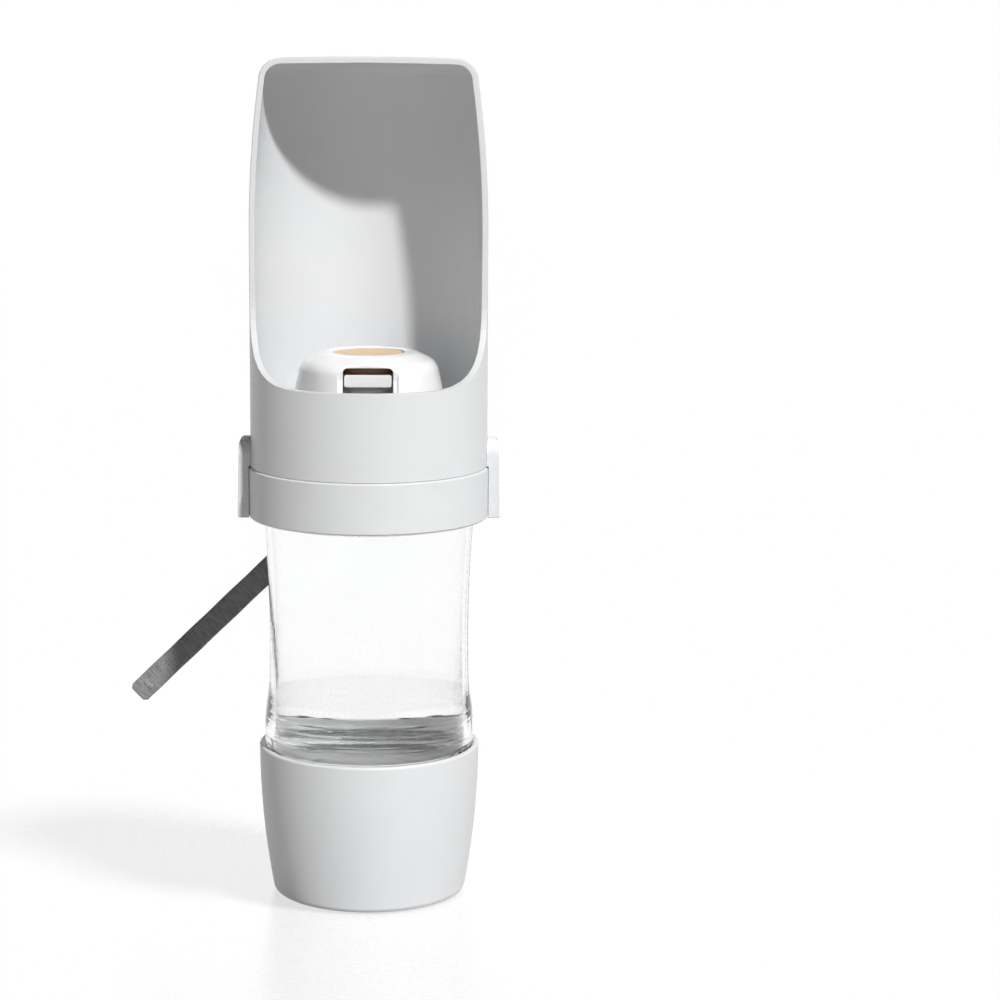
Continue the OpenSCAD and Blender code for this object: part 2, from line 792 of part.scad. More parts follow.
// Strap: doubled webbing with a round end at the rivet and clipped corners at its tip
module wrist_strap() {
    half = strap_w / 2;
    clip = 1.8;
    color("dimgray")
        at_rivet()
            rotate([0, 180 - strap_angle, 0])
                translate([0, strap_back_y, 0])
                    rotate([90, 0, 0])
                        linear_extrude(height = strap_t)
                            difference() {
                                polygon(concat(
                                    arc([0, 0], half, 90, 270, 12),
                                    [[strap_l - clip, -half], [strap_l, -half + clip]],
                                    [[strap_l, half - clip], [strap_l - clip, half]]));
                                circle(r = rivet_r + run_gap);
                            }
}

food_cup();
cup_seal();
bottle_body();
lid_gasket();
collar_lid();
trough();
clip_left();
clip_right();
stopper_gasket();
stopper_core();
stopper_shell();
push_button();
valve_carrier();
valve_stem();
valve_disc();
valve_nut();
return_spring();
strap_rivet();
strap_washer();
rivet_cap();
wrist_strap();
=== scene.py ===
import json
import math

import bmesh
import bpy
from mathutils import Matrix, Vector
from mathutils.bvhtree import BVHTree


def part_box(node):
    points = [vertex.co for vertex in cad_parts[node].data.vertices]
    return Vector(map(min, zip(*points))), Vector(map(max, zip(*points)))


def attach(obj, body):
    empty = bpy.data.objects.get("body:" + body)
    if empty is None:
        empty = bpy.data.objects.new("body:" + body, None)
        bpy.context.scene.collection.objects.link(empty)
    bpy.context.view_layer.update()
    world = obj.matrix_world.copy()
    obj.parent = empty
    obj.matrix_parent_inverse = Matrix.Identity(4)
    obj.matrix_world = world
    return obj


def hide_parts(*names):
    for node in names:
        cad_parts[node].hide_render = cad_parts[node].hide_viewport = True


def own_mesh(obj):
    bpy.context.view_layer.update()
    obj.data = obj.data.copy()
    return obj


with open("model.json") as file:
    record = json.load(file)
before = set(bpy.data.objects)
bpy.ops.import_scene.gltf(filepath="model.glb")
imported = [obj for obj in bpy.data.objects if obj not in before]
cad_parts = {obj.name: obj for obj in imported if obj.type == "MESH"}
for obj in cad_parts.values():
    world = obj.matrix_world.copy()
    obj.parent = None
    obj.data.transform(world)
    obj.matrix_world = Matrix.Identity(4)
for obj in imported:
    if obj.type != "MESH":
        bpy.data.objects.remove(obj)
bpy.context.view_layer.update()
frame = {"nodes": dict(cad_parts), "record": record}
NODES = frame["nodes"]
JOINTS = {joint["name"]: joint for joint in frame["record"]["behaviour"]["joints"]}
scene = bpy.context.scene
MM = 0.001


def mm(metres):
    """A length or place of the frame in millimetres, to a thousandth."""
    return round(metres / MM, 3)


# Heights in the frame, in millimetres

BOTTLE_FOOT = mm(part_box("bottle_body")[0][2])
NECK_TOP = mm(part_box("bottle_body")[1][2])
CUP_RIM = mm(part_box("food_cup")[1][2])
COLLAR_FOOT = mm(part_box("collar_lid")[0][2])
MOUTH_TOP = mm(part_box("collar_lid")[1][2])

# Slope of the wrist strap at rest
STRAP_ANGLE = math.radians(44.0)


# Camera, at the photograph's viewpoint

# How far the trough's front is turned towards the camera from square on, in degrees
FACING = 1.7
# Where the camera stands before that turn, in metres
CAMERA_PLACE = (0.0455, -0.993, 0.308)
# How far it looks down, how far it looks aside and how far it leans, in degrees
CAMERA_DOWN = 9.753
CAMERA_ASIDE = 0.036
CAMERA_LEAN = 0.383
# Width of its sensor in millimetres, and its focal length in widths of the sensor
SENSOR_WIDTH = 36.0
FOCAL_WIDTHS = 2.9393


def make_camera():
    """A metre in front of the object, a little to the right, level with its top."""
    data = bpy.data.cameras.new("camera")
    data.sensor_fit = "HORIZONTAL"
    data.sensor_width = SENSOR_WIDTH
    data.lens = SENSOR_WIDTH * FOCAL_WIDTHS
    data.clip_start = 0.05
    data.clip_end = 200.0
    camera = bpy.data.objects.new("camera", data)
    scene.collection.objects.link(camera)
    turn = (
        Matrix.Rotation(math.radians(CAMERA_ASIDE), 4, "Z")
        @ Matrix.Rotation(math.radians(90.0 - CAMERA_DOWN), 4, "X")
        @ Matrix.Rotation(math.radians(CAMERA_LEAN), 4, "Z")
    )
    rig = Matrix.Rotation(math.radians(-FACING), 4, "Z")
    camera.matrix_world = rig @ Matrix.Translation(CAMERA_PLACE) @ turn
    scene.camera = camera


make_camera()


# Colours

def srgb(r, g, b):
    """Linear colour of 8-bit display values."""
    def one(c):
        c /= 255.0
        return c / 12.92 if c <= 0.04045 else ((c + 0.055) / 1.055) ** 2.4
    return (one(r), one(g), one(b), 1.0)


def scaled(colour, k):
    """The colour, k times as bright."""
    return tuple(min(1.0, c * k) for c in colour[:3]) + (1.0,)


# Node trees

class Graph:
    """The node tree of a material or of the world, with short calls for the nodes used here."""

    def __init__(self, owner, output="ShaderNodeOutputMaterial"):
        owner.use_nodes = True
        self.owner = owner
        self.tree = owner.node_tree
        self.tree.nodes.clear()
        self.out = self.new(output)
        self.places = self.new("ShaderNodeTexCoord").outputs
        self.coords = self.places["Object"]

    def new(self, kind):
        return self.tree.nodes.new(kind)

    def link(self, a, b):
        self.tree.links.new(a, b)

    def feed(self, socket, value):
        """Sets a socket to a number or colour, or links it to another node's output."""
        if isinstance(value, (int, float, tuple)):
            socket.default_value = value
        else:
            self.link(value, socket)

    def show(self, shader):
        self.link(shader, self.out.inputs["Surface"])

    def stretch(self, x, y, z, turn=(0.0, 0.0, 0.0), vector=None):
        """Coordinates stretched along each axis and then turned."""
        m = self.new("ShaderNodeMapping")
        m.inputs["Scale"].default_value = (x, y, z)
        m.inputs["Rotation"].default_value = turn
        self.link(vector or self.coords, m.inputs["Vector"])
        return m.outputs["Vector"]

    def along_strap(self, x, y, z):
        """Coordinates turned so that X runs along the strap, then stretched."""
        turned = self.stretch(1.0, 1.0, 1.0, (0.0, STRAP_ANGLE, 0.0))
        return self.stretch(x, y, z, vector=turned)

    def axis(self, letter, vector=None):
        """One coordinate, in metres for a material."""
        split = self.new("ShaderNodeSeparateXYZ")
        self.link(vector or self.coords, split.inputs[0])
        return split.outputs[letter]

    def noise(self, scale, detail=3.0, rough=0.5, vector=None, distort=0.0):
        n = self.new("ShaderNodeTexNoise")
        n.inputs["Scale"].default_value = scale
        n.inputs["Detail"].default_value = detail
        n.inputs["Roughness"].default_value = rough
        n.inputs["Distortion"].default_value = distort
        self.link(vector or self.coords, n.inputs["Vector"])
        return n.outputs["Fac"]

    def ranged(self, value, low, high, start=0.0, end=1.0):
        """Runs from low to high as value runs from start to end, and stops there."""
        m = self.new("ShaderNodeMapRange")
        m.inputs["From Min"].default_value = start
        m.inputs["From Max"].default_value = end
        m.inputs["To Min"].default_value = low
        m.inputs["To Max"].default_value = high
        self.link(value, m.inputs["Value"])
        return m.outputs["Result"]

    def maths(self, what, a, b, clamp=False):
        m = self.new("ShaderNodeMath")
        m.operation = what
        m.use_clamp = clamp
        self.feed(m.inputs[0], a)
        self.feed(m.inputs[1], b)
        return m.outputs["Value"]

    def blend(self, factor, a, b, how="MIX"):
        """Colour a where factor is 0, and b mixed or multiplied onto it where factor is 1."""
        m = self.new("ShaderNodeMix")
        m.data_type = "RGBA"
        m.blend_type = how
        self.feed(m.inputs[0], factor)
        self.feed(m.inputs[6], a)
        self.feed(m.inputs[7], b)
        return m.outputs[2]

    def bump(self, height, distance, strength=1.0, normal=None):
        b = self.new("ShaderNodeBump")
        b.inputs["Strength"].default_value = strength
        b.inputs["Distance"].default_value = distance
        self.link(height, b.inputs["Height"])
        if normal is not None:
            self.link(normal, b.inputs["Normal"])
        return b.outputs["Normal"]

    def soft_edges(self, radius):
        """(rounded normal, mask that is 1 along edges and 0 on plain faces)."""
        bevel = self.new("ShaderNodeBevel")
        bevel.samples = 6
        bevel.inputs["Radius"].default_value = radius
        geometry = self.new("ShaderNodeNewGeometry")
        dot = self.new("ShaderNodeVectorMath")
        dot.operation = "DOT_PRODUCT"
        self.link(bevel.outputs["Normal"], dot.inputs[0])
        self.link(geometry.outputs["Normal"], dot.inputs[1])
        return bevel.outputs["Normal"], self.ranged(dot.outputs["Value"], 1.0, 0.0, 0.80, 0.99)

    def principled(self, **values):
        p = self.new("ShaderNodeBsdfPrincipled")
        for name, value in values.items():
            p.inputs[name.replace("_", " ")].default_value = value
        self.show(p.outputs["BSDF"])
        return p

    def shader(self, kind, **values):
        """Output of a plain shader node with these sockets."""
        node = self.new("ShaderNode" + kind)
        for name, value in values.items():
            self.feed(node.inputs[name], value)
        return node.outputs[0]

    def mix(self, factor, a, b):
        """Shader a where factor is 0 and b where it is 1."""
        m = self.new("ShaderNodeMixShader")
        self.feed(m.inputs["Fac"], factor)
        self.link(a, m.inputs[1])
        self.link(b, m.inputs[2])
        return m.outputs["Shader"]

    def looked_at(self):
        """1 for what is seen, mirrored or looked at through something clear, 0 for bounced light."""
        path = self.new("ShaderNodeLightPath").outputs
        indirect = self.maths("MAXIMUM", path["Is Glossy Ray"], path["Is Transmission Ray"])
        any_look = self.maths("MAXIMUM", path["Is Camera Ray"], indirect)
        unbounced = self.maths("LESS_THAN", path["Diffuse Depth"], 0.5)
        return self.maths("MULTIPLY", any_look, unbounced)


# Materials

# Heights in the bottle in millimetres: where its floor's frost ends, where the ripple of its foot
# fades out, and from where to where lamps shine through it more and more
FROST_ENDS = (BOTTLE_FOOT + 4.2, BOTTLE_FOOT + 4.6)
RIPPLE_ENDS = (BOTTLE_FOOT + 9.0, BOTTLE_FOOT + 15.0)
LIGHT_PASSES = (BOTTLE_FOOT + 21.0, BOTTLE_FOOT + 29.0)
# How far the push button's flange lies under its face, and the height of the flange, in metres
BUTTON_STANDS = 0.0030
FLANGE_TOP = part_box("push_button")[1][2] - BUTTON_STANDS
# Painted shade on the push button's flange, a darker brown standing in for the shade inside the
# stopper's shell, and half the height over which it begins, in metres
FLANGE_PAINTED_SHADE = (0.30, 0.19, 0.13, 1.0)
HALF_STEP = 0.0001


def plastic(name, colour, rough, mottle=0.018, grain=0.00002, coat=0.0, speck=0.0, under=None):
    """Moulded plastic: flow mottling, a fine spark-eroded grain, faint scuffs and rubbed edges,
    glossier from wear and lighter partly from wear and partly as a painted highlight.
    under is (height, tint): the piece takes that tint below that height, as painted shade."""
    g = Graph(bpy.data.materials.new(name))
    p = g.principled(IOR=1.49, Coat_Weight=coat, Coat_Roughness=0.18)
    flow = g.noise(38.0, 4.0, 0.55, distort=0.6)
    cloud = g.noise(9.0, 2.0, 0.5)
    grain_noise = g.noise(2600.0, 2.0, 0.6)
    pores = g.noise(700.0, 3.0, 0.5)
    scuff = g.noise(160.0, 4.0, 0.7, g.stretch(1.0, 1.0, 0.16, (0.35, 0.5, 0.0)), 0.4)
    rounded, edge_mask = g.soft_edges(0.0004)
    mottling = g.ranged(flow, 0.0, 1.0, 0.3, 0.7)
    tone = g.blend(mottling, scaled(colour, 1.0 - mottle), scaled(colour, 1.0 + mottle))
    cooler = g.blend(1.0, tone, (0.99, 0.994, 1.0, 1.0), "MULTIPLY")
    tone = g.blend(g.ranged(cloud, 0.0, 1.0, 0.35, 0.65), tone, cooler)
    if speck:
        dots = g.ranged(g.noise(1500.0, 2.0, 0.5), 0.0, speck, 0.56, 0.72)
        tone = g.blend(dots, tone, scaled(colour, 0.62))
        flakes = g.noise(1150.0, 2.0, 0.5, g.stretch(1.0, 1.0, 0.5))
        tone = g.blend(g.ranged(flakes, 0.0, speck, 0.58, 0.74), tone, scaled(colour, 1.22))
    patchy = g.ranged(g.noise(240.0, 3.0), 0.25, 0.75, 0.35, 0.65)
    # Rubbed edges in patches: glossier from wear, and lighter, partly wear and partly a painted
    # highlight along the edges
    wear_and_highlight = g.maths("MULTIPLY", edge_mask, patchy, clamp=True)
    tone = g.blend(g.maths("MULTIPLY", wear_and_highlight, 0.35), tone, scaled(colour, 1.10))
    # Painted shade: below the given height the colour is darkened by the tint
    if under:
        height, tint = under
        below = g.ranged(g.axis("Z"), 1.0, 0.0, height - HALF_STEP, height + HALF_STEP)
        tone = g.blend(below, tone, g.blend(1.0, tone, tint, "MULTIPLY"))
    g.link(tone, p.inputs["Base Color"])
    base = g.ranged(flow, rough - 0.035, rough + 0.035, 0.3, 0.7)
    marks = g.maths("MULTIPLY", g.ranged(scuff, 0.0, 1.0, 0.60, 0.75), -0.07)
    shine = g.maths("MULTIPLY", wear_and_highlight, -0.12)
    g.link(g.maths("ADD", g.maths("ADD", base, marks), shine, clamp=True), p.inputs["Roughness"])
    height = g.maths("ADD", g.maths("MULTIPLY", grain_noise, 0.7), g.maths("MULTIPLY", pores, 0.5))
    g.link(g.bump(height, grain, 0.9, g.bump(cloud, 0.00018, 0.5, rounded)), p.inputs["Normal"])
    return g.owner


def clear_plastic(name, tint, rough, ior, wave, passes, foot_passes, frost=0.0):
    """Clear moulded wall: faint flow waves in its skin, hairline scratches, a rippled foot and a
    frosted underside. Lamps shine through, less at the foot, where wall and water bend light away."""
    g = Graph(bpy.data.materials.new(name))
    p = g.principled(Transmission_Weight=1.0, IOR=ior)
    z = g.axis("Z")
    waves = g.noise(16.0, 2.0, 0.4, g.stretch(1.0, 1.0, 0.35))
    haze = g.noise(55.0, 4.0, 0.6)
    hair = g.noise(420.0, 3.0, 0.7, g.stretch(1.0, 1.0, 0.08, (0.25, 0.2, 0.0)), 0.6)
    tone = g.blend(g.ranged(haze, 0.0, 1.0, 0.35, 0.65), tint, scaled(tint, 0.992))
    g.link(tone, p.inputs["Base Color"])
    frosted = g.ranged(z, frost, 0.0, FROST_ENDS[0] * MM, FROST_ENDS[1] * MM)
    dull = g.maths("ADD", g.ranged(hair, 0.0, 0.05, 0.66, 0.74), frosted)
    polish = g.ranged(haze, rough * 0.5, rough * 1.8, 0.3, 0.7)
    g.link(g.maths("ADD", polish, dull), p.inputs["Roughness"])
    at_foot = g.ranged(z, 1.0, 0.0, RIPPLE_ENDS[0] * MM, RIPPLE_ENDS[1] * MM)
    ripple = g.maths("MULTIPLY", g.noise(70.0, 1.0, 0.4, g.stretch(0.7, 1.0, 1.0), 1.2), at_foot)
    skin = g.bump(hair, 0.000002, 0.4, g.bump(waves, wave, 0.5))
    g.link(g.bump(ripple, 0.0016, 1.0, skin), p.inputs["Normal"])
    light = g.ranged(z, foot_passes, passes, LIGHT_PASSES[0] * MM, LIGHT_PASSES[1] * MM)
    clear = g.shader("BsdfTransparent", Color=light)
    in_shadow = g.new("ShaderNodeLightPath").outputs["Is Shadow Ray"]
    g.show(g.mix(in_shadow, p.outputs["BSDF"], clear))
    return g.owner


def silicone(name, colour):
    """Soft matte silicone with a faint cloudy mottling."""
    g = Graph(bpy.data.materials.new(name))
    p = g.principled(IOR=1.42, Sheen_Weight=0.15, Sheen_Roughness=0.5)
    cloud = g.noise(120.0, 4.0, 0.6)
    fine = g.noise(2200.0, 2.0, 0.5)
    tone = g.blend(g.ranged(cloud, 0.0, 1.0, 0.3, 0.7), scaled(colour, 0.95), scaled(colour, 1.02))
    g.link(tone, p.inputs["Base Color"])
    g.link(g.ranged(cloud, 0.48, 0.62, 0.3, 0.7), p.inputs["Roughness"])
    g.link(g.bump(fine, 0.00002, 0.7), p.inputs["Normal"])
    return g.owner


def steel(name, colour, rough, axis="Z"):
    """Turned steel: tool rings round the axis, faint tarnish and bright rubbed edges."""
    g = Graph(bpy.data.materials.new(name))
    p = g.principled(Metallic=1.0)
    along = {"Z": (1.0, 1.0, 14.0), "Y": (1.0, 14.0, 1.0)}[axis]
    rings = g.noise(260.0, 3.0, 0.6, g.stretch(*along))
    stain = g.noise(190.0, 4.0, 0.55)
    rounded, edge_mask = g.soft_edges(0.00025)
    tone = g.blend(g.ranged(stain, 0.0, 1.0, 0.35, 0.7), scaled(colour, 0.84), scaled(colour, 1.08))
    tone = g.blend(g.maths("MULTIPLY", edge_mask, 0.5), tone, scaled(colour, 1.35))
    g.link(tone, p.inputs["Base Color"])
    g.link(g.ranged(rings, rough - 0.07, rough + 0.09, 0.3, 0.7), p.inputs["Roughness"])
    g.link(g.bump(rings, 0.00001, 0.8, rounded), p.inputs["Normal"])
    return g.owner


def yarn(name, colour, fuzz=0.35):
    """Polyester yarn: streaks along the strap, worn paler tops and a soft sheen."""
    g = Graph(bpy.data.materials.new(name))
    p = g.principled(IOR=1.45, Specular_IOR_Level=0.25, Sheen_Weight=fuzz, Sheen_Roughness=0.45)
    p.inputs["Sheen Tint"].default_value = (0.9, 0.9, 0.95, 1.0)
    streak = g.noise(1500.0, 3.0, 0.6, g.along_strap(1.0, 1.0, 0.16))
    fibre = g.noise(5200.0, 2.0, 0.6, g.along_strap(0.25, 1.0, 1.0))
    cloud = g.noise(130.0, 4.0, 0.6)
    tone = g.blend(g.ranged(streak, 0.0, 1.0, 0.35, 0.65), scaled(colour, 0.74), scaled(colour, 1.22))
    tone = g.blend(g.ranged(fibre, 0.0, 0.5, 0.45, 0.75), tone, scaled(colour, 1.45))
    tone = g.blend(g.ranged(cloud, 0.0, 0.35, 0.4, 0.7), tone, scaled(colour, 0.72))
    g.link(tone, p.inputs["Base Color"])
    g.link(g.ranged(cloud, 0.72, 0.92, 0.3, 0.7), p.inputs["Roughness"])
    g.link(g.bump(fibre, 0.00006, 0.8, g.bump(streak, 0.00006, 0.6)), p.inputs["Normal"])
    return g.owner


PALE = srgb(219, 220, 221)
M_PALE = plastic("pale_plastic", PALE, 0.48)
M_TROUGH = plastic("trough_plastic", PALE, 0.40, mottle=0.014)
M_WHITE = plastic("white_plastic", srgb(247, 247, 247), 0.25, mottle=0.008, grain=0.000006, coat=0.8)
# The push button's flange takes painted shade below its top
M_TAN = plastic(
    "tan_plastic", srgb(222, 188, 152), 0.48, mottle=0.03, grain=0.00003, speck=0.16,
    under=(FLANGE_TOP, FLANGE_PAINTED_SHADE),
)
M_CLEAR = clear_plastic(
    "clear_plastic", (0.992, 0.996, 0.996, 1.0), rough=0.012, ior=1.5, wave=0.00010,
    passes=0.78, foot_passes=0.05, frost=0.4,
)
M_WATER = clear_plastic(
    "water", (1.0, 1.0, 1.0, 1.0), rough=0.002, ior=1.333, wave=0.00002, passes=0.9, foot_passes=0.9,
)
M_SILICONE = silicone("silicone", srgb(238, 238, 235))
M_STEEL = steel("steel", (0.60, 0.60, 0.61, 1.0), 0.27)
M_STEEL_Y = steel("steel_pin", (0.56, 0.56, 0.57, 1.0), 0.30, "Y")
M_WEB = yarn("webbing", (0.25, 0.25, 0.255, 1.0))
M_THREAD = yarn("sewing_thread", (0.36, 0.36, 0.37, 1.0), 0.2)

LOOKS = (
    (M_PALE, ("food_cup", "collar_lid", "clip_left", "clip_right")),
    (M_TROUGH, ("trough",)),
    (M_CLEAR, ("bottle_body",)),
    (M_WHITE, ("stopper_shell", "stopper_core", "valve_carrier")),
    (M_TAN, ("push_button",)),
    (M_SILICONE, ("cup_seal", "lid_gasket", "stopper_gasket", "valve_disc")),
    (M_STEEL, ("valve_stem", "valve_nut", "return_spring")),
    (M_STEEL_Y, ("strap_rivet", "strap_washer", "rivet_cap")),
)
for look, names in LOOKS:
    for node_name in names:
        NODES[node_name].data.materials.clear()
        NODES[node_name].data.materials.append(look)


# Making pieces

def mesh_object(name, verts, faces, material, smooth=True):
    """Object of these points and faces, with its faces turned outwards."""
    data = bpy.data.meshes.new(name)
    data.from_pydata(verts, [], faces)
    data.update()
    work = bmesh.new()
    work.from_mesh(data)
    bmesh.ops.remove_doubles(work, verts=work.verts, dist=1e-7)
    bmesh.ops.recalc_face_normals(work, faces=work.faces)
    for face in work.faces:
        face.smooth = smooth
    work.to_mesh(data)
    work.free()
    data.materials.append(material)
    obj = bpy.data.objects.new(name, data)
    scene.collection.objects.link(obj)
    return obj


def finish_piece(obj, body, slot, *stands_for):
    """Attaches a piece to its body and hides the nodes it stands for; slot is not used."""
    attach(obj, body)
    if stands_for:
        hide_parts(*stands_for)


def bar_faces(sections, sides):
    """Faces round a wound or bent bar with that many sections, and its two ends."""
    faces = []
    for i in range(sections - 1):
        for k in range(sides):
            a, b = i * sides + k, i * sides + (k + 1) % sides
            faces.append((a, b, b + sides, a + sides))
    faces.append(tuple(range(sides)))
    faces.append(tuple((sections - 1) * sides + k for k in reversed(range(sides))))
    return faces


def lathe(name, outline, material, steps=144):
    """Turned solid from (radius, height) points in millimetres: they start and end on the axis,
    or go round a ring's section and end where they start."""
    verts, faces = [], []
    rows = []
    for r, z in outline:
        if r < 1e-6:
            rows.append([len(verts)])
            verts.append((0.0, 0.0, z * MM))
            continue
        row = []
        for i in range(steps):
            a = 2.0 * math.pi * i / steps
            row.append(len(verts))
            verts.append((r * math.cos(a) * MM, r * math.sin(a) * MM, z * MM))
        rows.append(row)
    for one, two in zip(rows, rows[1:]):
        for i in range(steps):
            j = (i + 1) % steps
            if len(one) == 1:
                faces.append((one[0], two[j], two[i]))
            elif len(two) == 1:
                faces.append((one[i], one[j], two[0]))
            else:
                faces.append((one[i], one[j], two[j], two[i]))
    return mesh_object(name, verts, faces, material)


# Screw threads, in millimetres

# Radii of the screwed walls, and the play between the two walls of a pair
CUP_BORE_R = 35.9
NECK_R = 33.4
MOUTH_R = 20.3
PLAY = 0.45
# How far the clear threads' feet stand off their walls, and the stopper's and the mouth's lie in
# theirs
HAIR = 0.01
# A thread's rise in a turn, and its width at foot and crest
PITCH = 4.0
THREAD_FOOT = 1.9
THREAD_CREST = 0.8
# Where its crest's corners are eased: at this share of the height and of the flank's width
CORNER_RISE = 0.75
CORNER_WIDTH = 0.18
# Height of a thread, and of the food cup's, which the seal ring has to pass
RIDGE = 0.36
LOW_RIDGE = 0.20
# Share of a turn in which a thread grows to its full height, and the share that it starts with
RUN_OUT = 0.12
START_SHARE = 0.04
# Sections of a thread in a turn
TURN_SECTIONS = 72


def screw_thread(name, body, material, slot, root_r, height, low, high, phase):
    """A trapezoid thread wound on a wall of radius root_r; height is negative on an inside wall."""
    turns = round(high - low, 3) / PITCH
    rings = int(turns * TURN_SECTIONS)
    soft = CORNER_WIDTH * (THREAD_FOOT - THREAD_CREST)
    foot, crest = THREAD_FOOT / 2.0, THREAD_CREST / 2.0
    verts = []
    for i in range(rings + 1):
        t = i / rings
        angle = math.radians(phase) + 2.0 * math.pi * turns * t
        middle = low + (high - low) * t
        run = min(1.0, min(t, 1.0 - t) * turns / RUN_OUT)
        rise = height * (START_SHARE + (1.0 - START_SHARE) * (run * run * (3.0 - 2.0 * run)))
        corner = rise * CORNER_RISE
        profile = [
            (0.0, -foot), (corner, -crest - soft), (rise, -crest + soft),
            (rise, crest - soft), (corner, crest + soft), (0.0, foot),
        ]
        for dr, dz in profile:
            r = root_r + dr
            verts.append((r * math.cos(angle) * MM, r * math.sin(angle) * MM, (middle + dz) * MM))
    faces = bar_faces(rings + 1, len(profile))
    finish_piece(mesh_object(name, verts, faces, material), body, slot)


screw_thread(
    "foot_thread", "bottle", M_CLEAR, "clear_plastic", root_r=CUP_BORE_R - PLAY + HAIR, height=RIDGE,
    low=BOTTLE_FOOT + 2.4, high=CUP_RIM - 1.7, phase=40.0,
)
screw_thread(
    "cup_thread", "cup", M_PALE, "pale_plastic", root_r=CUP_BORE_R, height=-LOW_RIDGE,
    low=BOTTLE_FOOT + 1.6, high=CUP_RIM - 1.9, phase=220.0,
)
screw_thread(
    "neck_thread", "bottle", M_CLEAR, "clear_plastic", root_r=NECK_R + HAIR, height=RIDGE,
    low=COLLAR_FOOT + 3.7, high=NECK_TOP - 1.7, phase=75.0,
)
screw_thread(
    "lid_thread", "lid", M_PALE, "pale_plastic", root_r=NECK_R + PLAY, height=-RIDGE,
    low=COLLAR_FOOT + 3.5, high=NECK_TOP - 1.5, phase=255.0,
)
screw_thread(
    "stopper_thread", "stopper", M_WHITE, "white_plastic", root_r=MOUTH_R - PLAY - HAIR, height=RIDGE,
    low=MOUTH_TOP - 14.9, high=MOUTH_TOP - 1.7, phase=130.0,
)
screw_thread(
    "mouth_thread", "lid", M_PALE, "pale_plastic", root_r=MOUTH_R + HAIR, height=-RIDGE,
    low=MOUTH_TOP - 15.3, high=MOUTH_TOP - 1.9, phase=310.0,
)


# Water, in millimetres

# Where the water's edge stands on the wall, and how far its flat top lies under that
WATER_LEVEL = COLLAR_FOOT - 1.3
MENISCUS = 0.5


def water_outline(level, gap=0.06, corner=4.0, under_rim=0.9, heights=36, directions=24):
    """Outline of the water, felt out from the axis to the inside of the bottle's own mesh:
    a hair short of the wall and a hair into the floor, so that the floor doesn't mirror."""
    data = NODES["bottle_body"].data
    tree = BVHTree.FromPolygons([v.co for v in data.vertices], [p.vertices for p in data.polygons])
    angles = [2.0 * math.pi * (i + 0.3) / directions for i in range(directions)]
    spokes = [Vector((math.cos(a), math.sin(a), 0.0)) for a in angles]

    def wall(z):
        return min(tree.ray_cast(Vector((0.0, 0.0, z * MM)), s)[3] for s in spokes) / MM - gap

    def floor_under(r, from_z):
        starts = [s * r * MM + Vector((0.0, 0.0, from_z * MM)) for s in spokes]
        return max(tree.ray_cast(p, Vector((0.0, 0.0, -1.0)))[0].z for p in starts) / MM - gap

    floor_z = floor_under(1.0, level)
    corner_z = floor_z + corner
    foot_r = wall(corner_z)
    points = [(0.0, floor_z)]
    for i in range(8):
        r = foot_r - corner + corner * math.sin(math.radians(11.0 * i))
        points.append((r, floor_under(r, corner_z)))
    for i in range(heights + 1):
        z = corner_z + (level - under_rim - corner_z) * i / heights
        points.append((wall(z), z))
    rim = wall(level)
    top = level - MENISCUS
    points += [(rim, level), (rim - 0.5, level - 0.7 * MENISCUS), (rim - 1.6, top), (0.0, top)]
    return points


finish_piece(lathe("water", water_outline(WATER_LEVEL), M_WATER), "bottle", "clear_plastic")


# Skirt of the carrier, seen in the pouring window under the tab

def carrier_skirt(depth=4.0, wall=1.3, inset=0.45, gap=0.02, round_r=0.35):
    """Thin round wall that hangs from the underside of the carrier's ring, in millimetres."""
    spots = [v.co for v in NODES["valve_carrier"].data.vertices]
    top = min(p.z for p in spots) / MM - gap
    outer = NODES["push_button"].dimensions.x / 2.0 / MM - inset
    inner = outer - wall
    low = top - depth
    outline = [
        (inner, top), (outer, top), (outer, low + round_r), (outer - round_r, low),
        (inner + round_r, low), (inner, low + round_r), (inner, top),
    ]
    finish_piece(lathe("carrier_skirt", outline, M_WHITE), "button", "white_plastic")


carrier_skirt()


# Return spring

def spring_coil(wire=0.5, turns=6, closed=0.9, closed_rise=1.05, sides=12, rings=288):
    """The return spring, wound in the node's place from wire of this radius in millimetres, with
    its ends closed by this share of a turn."""
    corner_low, corner_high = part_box("return_spring")
    low, high = corner_low[2] / MM, corner_high[2] / MM
    coil = corner_high[0] / MM - wire
    verts = []
    for i in range(rings + 1):
        turn = turns * i / rings
        angle = 2.0 * math.pi * turn
        climb = min(max((turn - closed) / (turns - 2.0 * closed), 0.0), 1.0)
        rise = closed_rise * (min(turn / closed, 1.0) + max((turn - turns) / closed + 1.0, 0.0))
        z = low + wire + rise + (high - low - 2.0 * wire - 2.0 * closed_rise) * climb
        for k in range(sides):
            b = 2.0 * math.pi * k / sides
            r = coil + wire * math.cos(b)
            height = z + wire * math.sin(b)
            verts.append((r * math.cos(angle) * MM, r * math.sin(angle) * MM, height * MM))
    spring = mesh_object("spring_coil", verts, bar_faces(rings + 1, sides), M_STEEL)
    finish_piece(spring, "stopper", "steel", "return_spring")
    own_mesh(spring)


spring_coil()


# Wrist strap, in millimetres: u runs along it from the rivet, v across it, and y is depth

